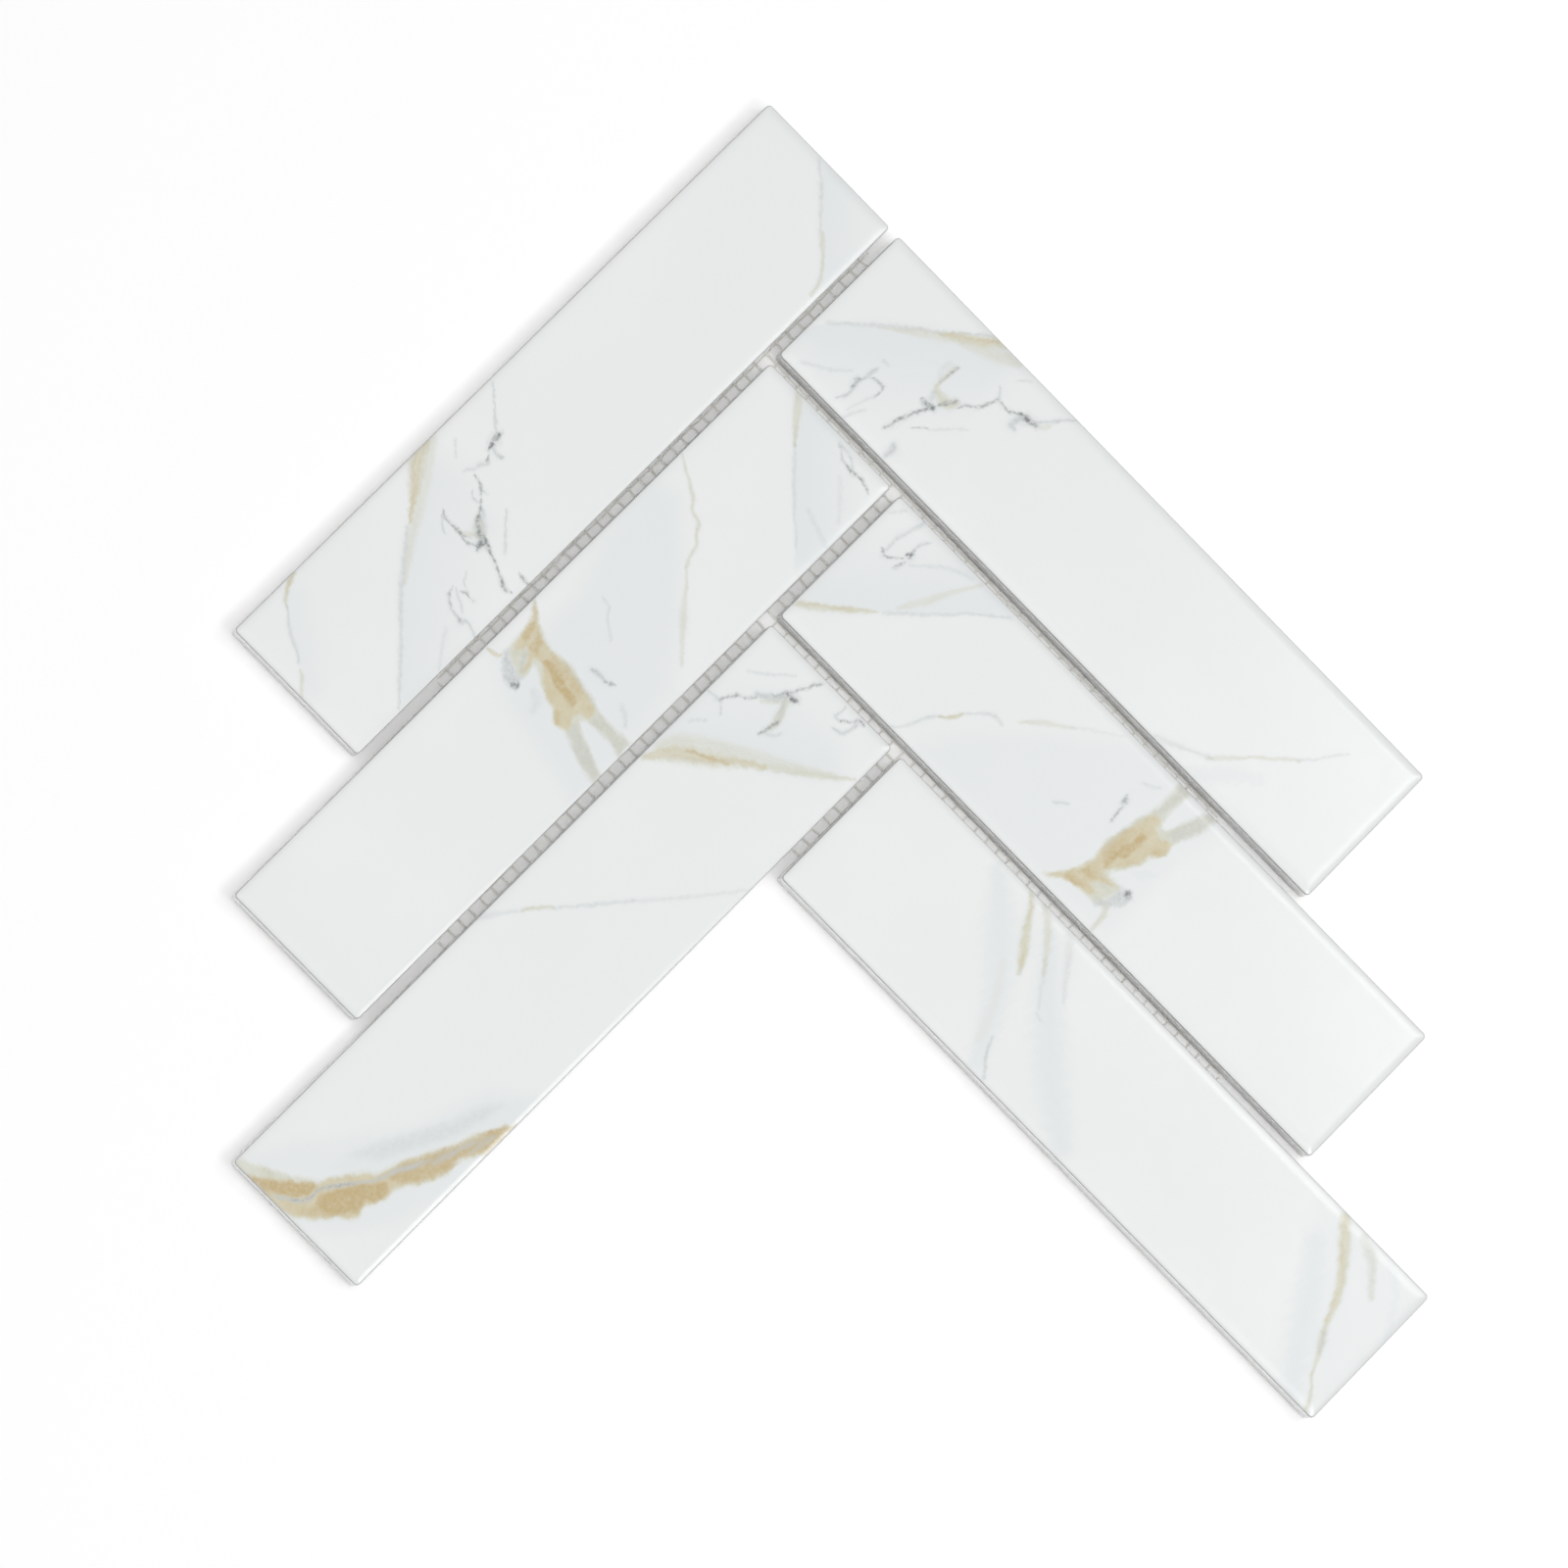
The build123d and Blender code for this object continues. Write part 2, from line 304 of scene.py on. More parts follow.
RIGHT_TOP_VEINS = [
    ("side_haze", 0.85, (800, 350, 60), (850, 333, 90), (905, 335, 120), (960, 342, 120), (1020, 350, 110),
     (1060, 375, 80)),
    ("olive", 0.65, (896, 337, 2), (915, 339, 5), (935, 341, 9), (960, 345, 11), (985, 349, 10)),
    ("grey", 0.4, (846, 333, 3), (875, 334, 4), (905, 335, 5), (935, 338, 5), (965, 342, 5)),
    ("olive", 0.6, (985, 353, 8), (1003, 358, 14), (1020, 364, 17), (1042, 371, 14)),
    ("gold", 0.8, (962, 344, 4), (978, 345, 7), (992, 348, 9), (1006, 351, 10), (1020, 351, 9),
     (1030, 354, 6)),
    ("deep", 0.3, (1000, 350, 4), (1013, 350, 5), (1024, 351, 3)),
    ("grey", 0.5, (972, 342, 2.5), (990, 343, 3), (1008, 344, 3), (1024, 347, 3)),
    ("grey", 0.75, (855, 408, 2.5), (866, 405, 3.5), (872, 399, 4), (876, 392, 4), (882, 388, 3),
     (889, 384, 4), (897, 378, 3)),
    ("dark", 0.8, (872, 396, 4), (877, 390, 5)),
    ("grey", 0.5, (880, 389, 2), (890, 388, 2), (899, 392, 2.5)),
    ("dark", 0.55, (892, 388, 1.5), (899, 392, 2.5), (903, 397, 4), (900, 402, 3), (895, 406, 2)),
    ("grey", 0.4, (903, 371, 3), (908, 375, 3.5)),
    ("grey", 0.35, (858, 429, 2.5), (870, 424, 3), (884, 420, 2.5)),
    ("grey", 0.3, (864, 421, 2.5), (880, 412, 3), (896, 406, 2.5)),
    ("grey", 0.3, (820, 372, 3), (835, 376, 3.5), (850, 380, 3.5), (872, 380, 3)),
    ("dark", 0.7, (904, 438, 3.5), (912, 434, 4.5), (920, 429, 4.5), (930, 425, 4), (940, 421, 4),
     (948, 419, 4), (956, 416, 3)),
    ("dark", 1.0, (942, 409, 3), (947, 413, 6), (951, 416, 6), (954, 419, 4)),
    ("olive", 0.9, (957, 395, 5), (959, 402, 9), (963, 409, 12), (969, 414, 12), (979, 412, 7)),
    ("dark", 0.6, (961, 415, 4), (970, 412, 4), (978, 411, 4)),
    ("grey", 0.5, (956, 401, 4), (952, 408, 5)),
    ("olive", 0.7, (957, 397, 4), (962, 391, 6), (968, 386, 6), (976, 378, 5)),
    ("dark", 0.55, (960, 393, 3), (967, 387, 3), (973, 381, 4), (980, 377, 3)),
    ("grey", 0.25, (960, 388, 5), (965, 378, 7), (972, 373, 6)),
    ("dark", 0.55, (978, 418, 2), (988, 415, 4), (994, 417, 3), (1001, 416, 3.5), (1008, 414, 4),
     (1014, 412, 3), (1020, 408, 3)),
    ("grey", 0.6, (1021, 409, 3), (1023, 402, 3), (1022, 395, 2)),
    ("dark", 0.65, (1022, 411, 3), (1029, 418, 3.5), (1036, 422, 4), (1044, 424, 3)),
    ("dark", 1.0, (1043, 423, 4), (1048, 427, 8), (1053, 430, 7), (1059, 435, 5)),
    ("grey", 0.8, (1045, 427, 4), (1038, 431, 7), (1034, 434, 7), (1037, 439, 4)),
    ("grey", 0.6, (1058, 431, 4), (1066, 431, 3.5), (1076, 431, 3), (1090, 429, 3), (1104, 430, 2.5)),
    ("olive", 0.5, (1060, 434, 5), (1066, 437, 6), (1073, 435, 4)),
    ("dark", 0.45, (932, 438, 2), (940, 438, 2.5), (948, 438, 2)),
    ("grey", 0.3, (950, 440, 2), (970, 439, 2.5), (990, 439, 2)),
    ("grey", 0.8, (914, 454, 4), (912, 460, 8), (905, 465, 6)),
    ("grey", 0.35, (1040, 390, 2), (1048, 390, 3), (1055, 391, 2)),
    ("haze", 0.5, (1198, 776, 16), (1228, 786, 30), (1260, 785, 28), (1288, 791, 20)),
    ("grey", 0.35, (1180, 746, 5), (1195, 753, 6), (1210, 758, 5), (1226, 764, 4), (1238, 768, 4)),
    ("olive", 0.6, (1234, 768, 4), (1248, 768, 5), (1262, 768, 4.5), (1278, 767, 3)),
    ("olive", 0.6, (1278, 767, 3), (1290, 768, 4), (1302, 769, 4), (1316, 769, 4), (1328, 771, 3)),
    ("grey", 0.35, (1328, 770, 3), (1348, 769, 3), (1364, 766, 3), (1380, 764, 2)),
]
RIGHT_MIDDLE_VEINS = [
    ("side_haze", 0.8, (1040, 634, 70), (990, 628, 100), (930, 627, 110), (860, 622, 100), (800, 613, 60)),
    ("grey", 0.5, (945, 534, 4), (928, 543, 3.5), (915, 550, 3.5), (908, 556, 3.5), (903, 561, 3)),
    ("dark", 0.55, (899, 561, 3), (900, 567, 4), (907, 570, 3), (920, 570, 2.5)),
    ("dark", 0.9, (924, 566, 3), (928, 569, 5.5), (931, 563, 3)),
    ("grey", 0.6, (931, 563, 3), (938, 557, 3), (949, 555, 2.5)),
    ("dark", 0.5, (922, 575, 3), (916, 578, 4), (911, 581, 3)),
    ("grey", 0.3, (906, 524, 2), (916, 524, 3), (924, 522, 2)),
    ("grey", 0.3, (926, 578, 3), (945, 579, 3.5), (965, 581, 4), (982, 586, 5), (992, 592, 4)),
    ("olive", 0.8, (798, 612, 7), (815, 617, 9), (835, 620, 9), (858, 622, 8), (880, 624, 5),
     (894, 625, 2)),
    ("gold", 0.5, (810, 616, 4), (835, 619, 5), (860, 622, 5), (890, 625, 2)),
    ("grey", 0.4, (900, 626, 4), (925, 627, 4), (945, 628, 3.5), (965, 628, 3), (990, 627, 3),
     (1032, 632, 3)),
    ("olive", 0.5, (914, 621, 4), (928, 618, 8), (945, 614, 9), (965, 607, 7), (985, 602, 5),
     (1002, 598, 4)),
    ("grey", 0.45, (905, 741, 3), (920, 740, 3), (935, 735, 3.5), (948, 731, 3.5), (958, 731, 3)),
    ("gold", 0.8, (956, 731, 3), (964, 732, 4.5), (973, 731, 4), (980, 728, 3)),
    ("grey", 0.45, (979, 728, 3), (988, 728, 3), (1000, 728, 3), (1012, 729, 4), (1017, 733, 4),
     (1021, 739, 3)),
    ("olive", 0.6, (1040, 737, 3), (1055, 737, 5), (1068, 738, 5.5), (1082, 741, 4.5), (1098, 743, 3)),
    ("grey", 0.2, (1095, 742, 3), (1120, 746, 3), (1150, 752, 2)),
    ("grey", 0.5, (1075, 817, 3), (1083, 818, 3.5), (1090, 820, 2)),
    ("dark", 0.5, (1152, 811, 3), (1149, 818, 5.5), (1143, 826, 4), (1138, 832, 4), (1135, 837, 3)),
    ("grey", 0.3, (1168, 799, 4), (1178, 803, 5), (1186, 804, 3)),
    ("olive", 0.8, (1117, 916, 8), (1126, 922, 8), (1126, 930, 6), (1120, 938, 6), (1113, 946, 5)),
    ("haze", 0.6, (1155, 890, 10), (1168, 892, 14), (1182, 892, 10)),
]
RIGHT_BOTTOM_VEINS = [
    ("haze", 0.8, (1015, 890, 30), (1017, 940, 60), (1014, 1000, 56), (1006, 1040, 44), (990, 1085, 30)),
    ("olive", 0.85, (1047, 905, 5), (1050, 920, 7), (1047, 936, 8), (1044, 951, 10), (1042, 966, 12),
     (1039, 980, 10), (1036, 994, 5)),
    ("gold", 0.75, (1050, 915, 3), (1048, 932, 4), (1044, 950, 5), (1042, 965, 7), (1040, 978, 6),
     (1037, 990, 3)),
    ("olive", 0.7, (1063, 925, 6), (1066, 942, 9), (1066, 955, 9), (1065, 970, 8), (1063, 985, 6),
     (1061, 998, 3)),
    ("grey", 0.3, (1064, 978, 4), (1062, 996, 6), (1058, 1014, 5), (1056, 1032, 3)),
    ("grey", 0.3, (1089, 958, 8), (1088, 976, 9), (1086, 992, 7), (1083, 1012, 5), (1082, 1026, 3)),
    ("olive", 0.18, (1019, 983, 8), (1014, 1008, 10), (1007, 1029, 11), (1000, 1047, 13), (994, 1060, 10)),
    ("grey", 0.7, (1008, 1058, 3), (1003, 1070, 3.5), (1000, 1081, 3), (1000, 1091, 3.5), (998, 1100, 3)),
    ("haze", 0.9, (1068, 960, 30), (1066, 1010, 50), (1066, 1060, 64), (1069, 1110, 64), (1078, 1172, 46)),
    ("grey", 0.4, (1053, 1036, 3), (1059, 1043, 3)),
    ("haze", 0.9, (1344, 1273, 40), (1339, 1313, 52), (1331, 1353, 52), (1321, 1398, 46), (1311, 1438, 30)),
    ("olive", 0.95, (1375, 1249, 13), (1374, 1278, 14), (1372, 1301, 12), (1369, 1318, 11),
     (1365, 1333, 10), (1359, 1346, 8), (1354, 1357, 7), (1349, 1373, 9), (1346, 1387, 7)),
    ("gold", 0.75, (1374, 1251, 8), (1373, 1278, 9), (1371, 1300, 8), (1369, 1315, 7), (1365, 1330, 7),
     (1360, 1343, 5), (1355, 1355, 4)),
    ("grey", 0.45, (1351, 1367, 6), (1349, 1377, 8), (1346, 1386, 5)),
    ("olive", 0.9, (1346, 1386, 5), (1343, 1394, 5), (1339, 1405, 4), (1337, 1416, 3.5), (1337, 1427, 4),
     (1334, 1436, 5), (1329, 1452, 6)),
    ("olive", 0.5, (1394, 1271, 8), (1400, 1286, 13), (1403, 1297, 10), (1402, 1315, 9), (1401, 1333, 6)),
    ("grey", 0.3, (1395, 1271, 8), (1401, 1287, 10), (1402, 1303, 9), (1401, 1331, 7)),
    ("haze", 0.7, (1421, 1298, 14), (1427, 1328, 16), (1421, 1355, 14), (1417, 1381, 8)),
]
VEINS = {
    "tile_left_top": LEFT_TOP_VEINS,
    "tile_left_middle": LEFT_MIDDLE_VEINS,
    "tile_left_bottom": LEFT_BOTTOM_VEINS,
    "tile_right_top": RIGHT_TOP_VEINS,
    "tile_right_middle": RIGHT_MIDDLE_VEINS,
    "tile_right_bottom": RIGHT_BOTTOM_VEINS,
}

# Broad parts of the print, as patches: layer, strength, width of the soft edge, and the outline. They are
# in eighths of a millimetre, along the tile from its left end and down from its upper side. The gold fork
# is on two tiles, turned half round about a middle place on the second.
PATCH_UNIT = 8.0
PATCH_WANDER = 0.18
GOLD_FORK = [
    ("olive", 0.95, 12, (862, 19), (879, 6), (892, 2), (880, 17), (862, 42), (850, 62), (842, 82),
     (836, 102), (842, 122), (845, 142), (843, 162), (836, 182), (832, 202), (830, 222), (825, 242),
     (818, 262), (815, 282), (814, 302), (812, 322), (818, 340), (818, 358), (782, 358), (789, 322),
     (789, 302), (788, 282), (784, 262), (775, 252), (765, 259), (757, 282), (749, 302), (739, 322),
     (732, 342), (726, 364), (702, 364), (710, 322), (714, 302), (724, 282), (732, 262), (737, 242),
     (738, 232), (731, 219), (734, 211), (742, 202), (752, 192), (753, 182), (757, 162), (764, 152),
     (772, 135), (780, 125), (792, 109), (789, 98), (772, 102), (757, 103), (749, 92), (759, 72),
     (765, 52), (775, 39), (792, 36), (812, 34), (832, 31), (849, 28)),
    ("gold", 0.9, 10, (864, 20), (884, 4), (872, 24), (858, 42), (847, 60), (838, 82), (832, 102),
     (838, 124), (840, 147), (838, 167), (832, 187), (828, 207), (824, 230), (816, 250), (804, 264),
     (792, 260), (784, 242), (772, 234), (758, 238), (742, 248), (737, 234), (733, 219), (738, 209),
     (749, 200), (757, 188), (759, 167), (768, 152), (778, 137), (792, 122), (803, 105), (797, 90),
     (782, 93), (764, 97), (760, 92), (782, 84), (800, 72), (806, 60), (792, 58), (782, 50), (792, 41),
     (812, 37), (834, 33), (852, 29)),
    ("deep", 0.95, 8, (805, 105), (815, 109), (818, 129), (815, 149), (811, 165), (806, 182), (804, 202),
     (799, 215), (784, 219), (786, 202), (787, 182), (788, 162), (791, 149), (799, 142), (805, 129)),
    ("deep", 0.55, 9, (810, 39), (834, 33), (850, 30), (856, 38), (837, 48), (818, 56), (807, 52)),
    ("deep", 0.55, 9, (804, 68), (824, 64), (843, 57), (838, 74), (828, 84), (810, 88)),
    ("deep", 0.45, 10, (733, 218), (742, 206), (755, 198), (758, 208), (748, 218), (738, 226)),
    ("deep", 0.35, 12, (818, 114), (832, 118), (836, 152), (830, 192), (818, 217), (808, 207), (812, 167)),
    ("grey", 0.75, 14, (749, 46), (764, 34), (776, 40), (762, 54), (756, 74), (749, 92), (755, 104),
     (742, 103), (730, 111), (718, 99), (720, 78), (734, 60)),
    ("grey", 0.35, 8, (770, 80), (784, 68), (795, 64), (790, 74), (776, 84)),
    ("grey", 0.45, 16, (740, 248), (764, 252), (749, 302), (730, 347), (724, 364), (702, 364), (714, 302),
     (730, 264)),
    ("grey", 0.35, 16, (788, 266), (816, 264), (813, 322), (820, 358), (780, 358), (791, 312)),
    ("dark", 0.95, 8, (724, 96), (734, 94), (741, 102), (734, 110), (725, 109)),
    ("grey", 0.25, 10, (831, 128), (842, 142), (839, 190), (829, 240), (821, 264), (817, 242), (825, 200),
     (831, 160)),
]
GOLD_FORK_TURN = (833, 175)
GOLD_BAND = [
    ("haze", 0.55, 50, (20, 10), (120, 60), (190, 120), (330, 220), (480, 270), (560, 364), (300, 364),
     (150, 330), (50, 260), (0, 190), (0, 20)),
    ("haze", 0.6, 30, (130, 150), (190, 158), (240, 182), (300, 214), (380, 258), (450, 284), (505, 325),
     (540, 360), (480, 360), (400, 312), (330, 285), (260, 250), (210, 236), (160, 195)),
    ("grey", 0.3, 26, (180, 158), (240, 184), (300, 216), (380, 260), (448, 284), (480, 312), (440, 308),
     (360, 285), (290, 250), (220, 212)),
    ("olive", 0.95, 14, (0, 4), (14, 2), (28, 36), (42, 58), (52, 82), (62, 104), (78, 124), (92, 143),
     (100, 158), (118, 163), (140, 178), (162, 193), (184, 211), (200, 231), (224, 237), (250, 244),
     (268, 254), (290, 266), (314, 277), (340, 291), (364, 303), (396, 312), (424, 331), (450, 344),
     (474, 362), (384, 362), (355, 341), (334, 328), (312, 335), (284, 328), (255, 314), (230, 299),
     (209, 282), (186, 278), (162, 278), (141, 265), (124, 260), (104, 266), (91, 260), (76, 238),
     (58, 223), (36, 206), (18, 184), (6, 166), (0, 150)),
    ("gold", 1.0, 9, (0, 34), (7, 43), (21, 68), (39, 88), (54, 106), (70, 127), (85, 145), (93, 158),
     (114, 166), (136, 181), (157, 195), (178, 213), (195, 234), (221, 241), (246, 248), (264, 257),
     (286, 270), (310, 281), (335, 295), (360, 307), (392, 316), (420, 335), (445, 348), (467, 360),
     (388, 360), (358, 338), (336, 324), (314, 331), (286, 324), (257, 310), (232, 295), (211, 278),
     (186, 274), (164, 274), (143, 261), (125, 256), (104, 261), (93, 256), (80, 236), (62, 221),
     (40, 203), (22, 181), (10, 163), (0, 140)),
    ("deep", 0.95, 10, (0, 42), (8, 50), (26, 80), (48, 104), (68, 128), (87, 146), (85, 158), (62, 158),
     (40, 143), (20, 112), (2, 84)),
    ("deep", 0.95, 14, (60, 184), (84, 178), (106, 186), (130, 200), (150, 212), (172, 232), (196, 252),
     (184, 272), (161, 271), (138, 252), (108, 254), (84, 236), (62, 212)),
    ("deep", 0.45, 14, (24, 172), (60, 186), (82, 215), (92, 244), (70, 224), (44, 203)),
    ("deep", 0.8, 8, (402, 318), (429, 332), (454, 346), (468, 361), (443, 356), (412, 337)),
    ("deep", 0.6, 10, (290, 272), (312, 282), (338, 297), (356, 312), (332, 318), (306, 300)),
    ("deep", 0.7, 16, (205, 246), (250, 252), (300, 280), (360, 310), (410, 330), (460, 358), (400, 356),
     (350, 330), (314, 328), (270, 315), (215, 276)),
    ("grey", 0.45, 10, (205, 243), (232, 246), (262, 262), (298, 286), (290, 290), (256, 275), (226, 259)),
    ("grey", 0.4, 14, (300, 284), (340, 300), (392, 322), (430, 346), (410, 346), (350, 318), (310, 300)),
]
PATCHES = {
    "tile_left_top": [],
    "tile_left_middle": GOLD_FORK + [
        ("haze", 0.65, 70, (690, 120), (740, 30), (860, 60), (960, 60), (1080, 20), (1240, 0), (1260, 60),
         (1180, 150), (1100, 220), (1030, 290), (960, 340), (700, 364), (640, 364)),
    ],
    "tile_left_bottom": GOLD_BAND,
    "tile_right_top": [],
    "tile_right_middle": [
        ("haze", 0.5, 70, (400, 340), (470, 240), (560, 150), (660, 60), (720, 0), (1000, 0), (960, 100),
         (960, 340), (800, 364), (420, 364)),
    ],
    "tile_right_bottom": [
        ("haze", 0.35, 80, (1290, 20), (1600, 0), (1600, 364), (1480, 364), (1380, 200)),
    ],
}


def turned_patches(patches, middle):
    """The same patches turned half round about a middle place."""
    turned = []
    for layer, strength, soft_edge, *outline in patches:
        turned_outline = [(2 * middle[0] - x, 2 * middle[1] - y) for x, y in outline]
        turned.append((layer, strength, soft_edge, *turned_outline))
    return turned


PATCHES["tile_right_middle"] += turned_patches(GOLD_FORK, GOLD_FORK_TURN)


# Colour helpers
def linear(colour):
    """A screen colour from 0 to 255 as the linear colour that a shader takes."""
    values = []
    for level in colour:
        share = level / 255
        values.append(share / 12.92 if share <= 0.04045 else ((share + 0.055) / 1.055) ** 2.4)
    return (*values, 1.0)


# Node helpers
def new_material(name):
    material = bpy.data.materials.new(name)
    material.use_nodes = True
    material.node_tree.nodes.clear()
    return material, material.node_tree


def add_node(tree, kind, inputs=None, **settings):
    node = tree.nodes.new(kind)
    for name, value in settings.items():
        setattr(node, name, value)
    for socket, value in (inputs or {}).items():
        if isinstance(value, bpy.types.NodeSocket):
            tree.links.new(value, node.inputs[socket])
        else:
            node.inputs[socket].default_value = value
    return node


def attribute(tree, name, output="Fac"):
    return add_node(tree, "ShaderNodeAttribute", attribute_name=name).outputs[output]


def calculate(tree, operation, first, second, clamped=False):
    node = add_node(tree, "ShaderNodeMath", {0: first, 1: second}, operation=operation, use_clamp=clamped)
    return node.outputs["Value"]


def blend(tree, amount, first, second):
    """Mix of two colours, each a screen colour or a socket."""
    node = tree.nodes.new("ShaderNodeMix")
    node.data_type = "RGBA"
    ends = [socket for socket in node.inputs if socket.type == "RGBA"]
    for socket, value in zip(ends, (first, second)):
        if isinstance(value, bpy.types.NodeSocket):
            tree.links.new(value, socket)
        else:
            socket.default_value = linear(value)
    tree.links.new(amount, node.inputs[0])
    return [socket for socket in node.outputs if socket.type == "RGBA"][0]


def noise(tree, scale, detail=2.0, roughness=0.5, place=None):
    """Noise over the object's own coordinates, or over another place."""
    if place is None:
        place = add_node(tree, "ShaderNodeTexCoord").outputs["Object"]
    values = {"Vector": place, "Scale": scale, "Detail": detail, "Roughness": roughness}
    return add_node(tree, "ShaderNodeTexNoise", values).outputs["Fac"]


def remap(tree, value, given, wanted=(0.0, 1.0)):
    """A value carried from a given span to a wanted one."""
    values = {"Value": value, "From Min": given[0], "From Max": given[1]}
    values.update({"To Min": wanted[0], "To Max": wanted[1]})
    return add_node(tree, "ShaderNodeMapRange", values).outputs["Result"]


def uneven_normal(tree, height, strength, distance):
    """Direction of a surface that a height makes slightly uneven."""
    values = {"Strength": strength, "Distance": distance, "Height": height}
    return add_node(tree, "ShaderNodeBump", values).outputs["Normal"]


def set_surface(tree, inputs):
    """Ends a material with a surface that has these inputs."""
    shader = add_node(tree, "ShaderNodeBsdfPrincipled", inputs)
    add_node(tree, "ShaderNodeOutputMaterial", {"Surface": shader.outputs["BSDF"]})


# Materials
def printed_glass():
    """Satin glass with the marble print and painted shade at the face's edges, which the layers of the face
    carry.
    """
    material, tree = new_material("printed_glass")
    vein_place = attribute(tree, "vein_place", "Vector")
    streak = noise(tree, scale=1.0, detail=3.0, roughness=0.6, place=vein_place)
    grain = noise(tree, scale=900.0, detail=3.0, roughness=0.65)
    cloud = noise(tree, scale=18.0, detail=3.0)
    waviness = noise(tree, scale=120.0)
    smears = noise(tree, scale=300.0)
    streaked = remap(tree, streak, (0.3, 0.7))
    broken = remap(tree, grain, (0.38, 0.58), (0.25, 1.15))
    patchy = remap(tree, grain, (0.3, 0.7), (0.55, 1.25))
    soft_patchy = remap(tree, grain, (0.3, 0.7), (0.85, 1.1))
    olive = blend(tree, streaked, OLIVE_PALE, OLIVE)
    gold = blend(tree, streaked, GOLD_PALE, GOLD)
    prints = [
        ("olive", soft_patchy, olive), ("gold", soft_patchy, gold),
        ("deep", patchy, DEEP), ("grey", patchy, GREY), ("dark", broken, DARK),
    ]

    colour = blend(tree, remap(tree, cloud, (0.35, 0.65)), PLAIN, PLAIN_WARM)
    colour = blend(tree, attribute(tree, "haze"), colour, HAZE)
    for layer, patches, tone in prints:
        amount = calculate(tree, "MULTIPLY", attribute(tree, layer), patches, clamped=True)
        colour = blend(tree, amount, colour, tone)
    # Painted shade at the face's edges: a faint darkening over the rolled rim (rim) and a dark line along
    # the arris (arris)
    for layer, tone in (("rim", RIM_SHADE), ("arris", ARRIS_SHADE)):
        colour = blend(tree, attribute(tree, layer), colour, tone)
    set_surface(tree, {
        "Base Color": colour, "IOR": GLASS_INDEX,
        "Roughness": remap(tree, smears, (0.3, 0.7), (0.15, 0.20)),
        "Normal": uneven_normal(tree, waviness, strength=0.05, distance=0.0004),
    })
    return material


def bare_glass():
    """The opaque white glass of the walls and the back."""
    material, tree = new_material("bare_glass")
    tone = remap(tree, noise(tree, scale=150.0, detail=3.0), (0.35, 0.65))
    pits = noise(tree, scale=700.0, detail=3.0)
    set_surface(tree, {
        "Base Color": blend(tree, tone, WALL, WALL_SHADE), "Roughness": 0.35, "IOR": GLASS_INDEX,
        "Normal": uneven_normal(tree, pits, strength=0.15, distance=0.0002),
        "Subsurface Weight": 1.0, "Subsurface Radius": (1.0, 1.0, 1.0), "Subsurface Scale": GLASS_DEPTH,
    })
    return material


def mesh_thread():
    """Matt resin-coated glass-fibre thread."""
    material, tree = new_material("mesh_thread")
    tone = remap(tree, noise(tree, scale=700.0, detail=3.0), (0.35, 0.65))
    fibres = noise(tree, scale=4000.0)
    set_surface(tree, {
        "Base Color": blend(tree, tone, THREAD, THREAD_SHADE), "Roughness": 0.7,
        "Normal": uneven_normal(tree, fibres, strength=0.3, distance=0.0001),
    })
    return material


def white_floor():
    """A white floor that keeps the shadow, and that the camera and reflections see lifted to white."""
    material, tree = new_material("white_floor")
    rays = add_node(tree, "ShaderNodeLightPath")
    seen = calculate(tree, "MAXIMUM", rays.outputs["Is Camera Ray"], rays.outputs["Is Glossy Ray"])
    seen = calculate(tree, "MAXIMUM", seen, rays.outputs["Is Transmission Ray"])
    white = (FLOOR_WHITE, FLOOR_WHITE, FLOOR_WHITE, 1.0)
    paint = add_node(tree, "ShaderNodeBsdfDiffuse", {"Color": white})
    glow = calculate(tree, "MULTIPLY", seen, FLOOR_LIFT)
    lift = add_node(tree, "ShaderNodeEmission", {"Strength": glow})
    both = add_node(tree, "ShaderNodeAddShader", {0: paint.outputs["BSDF"], 1: lift.outputs["Emission"]})
    add_node(tree, "ShaderNodeOutputMaterial", {"Surface": both.outputs["Shader"]})
    return material


# Print on the faces
def eased(share):
    """A share from 0 to 1 with a soft start and end."""
    return share * share * (3 - 2 * share)


def smooth_path(points):
    """A smooth curve through (x, y, width) points, as close points in the same form."""
    given = np.array(points, float)
    ends = np.vstack([2 * given[0] - given[1], given, 2 * given[-1] - given[-2]])
    path = []
    for before, start, end, after in zip(ends, ends[1:], ends[2:], ends[3:]):
        steps = max(2, math.ceil(np.linalg.norm((end - start)[:2]) / PATH_STEP))
        for share in np.arange(steps) / steps:
            turn = 2 * before - 5 * start + 4 * end - after
            swing = 3 * start - before - 3 * end + after
            path.append(start + (end - before) * share / 2 + turn * share ** 2 / 2 + swing * share ** 3 / 2)
    path.append(given[-1])
    return np.array(path)


def wander(places, amount):
    """Shifts places by a smooth uneven pattern, so that a stroke's edge isn't drawn by ruler."""
    shift = np.zeros_like(places)
    random = np.random.default_rng(WANDER_SEED)
    for wavelength, share in WANDER_WAVES:
        for axis in (0, 1):
            for repeat in range(WANDER_REPEATS):
                angle = random.uniform(0, math.tau)
                phase = random.uniform(0, math.tau)
                along = places @ np.array([math.cos(angle), math.sin(angle)])
                shift[:, axis] += share * np.sin(along * math.tau / wavelength + phase)
    return places + shift * amount


def near_runs(places, starts, runs, lengths):
    """For each place and straight run: offset from its start, nearest share of it, and distance from it."""
    offset = places[:, None, :] - starts
    share = np.clip((offset * runs).sum(2) / lengths ** 2, 0.0, 1.0)
    distance = np.linalg.norm(offset - share[:, :, None] * runs, axis=2)
    return offset, share, distance


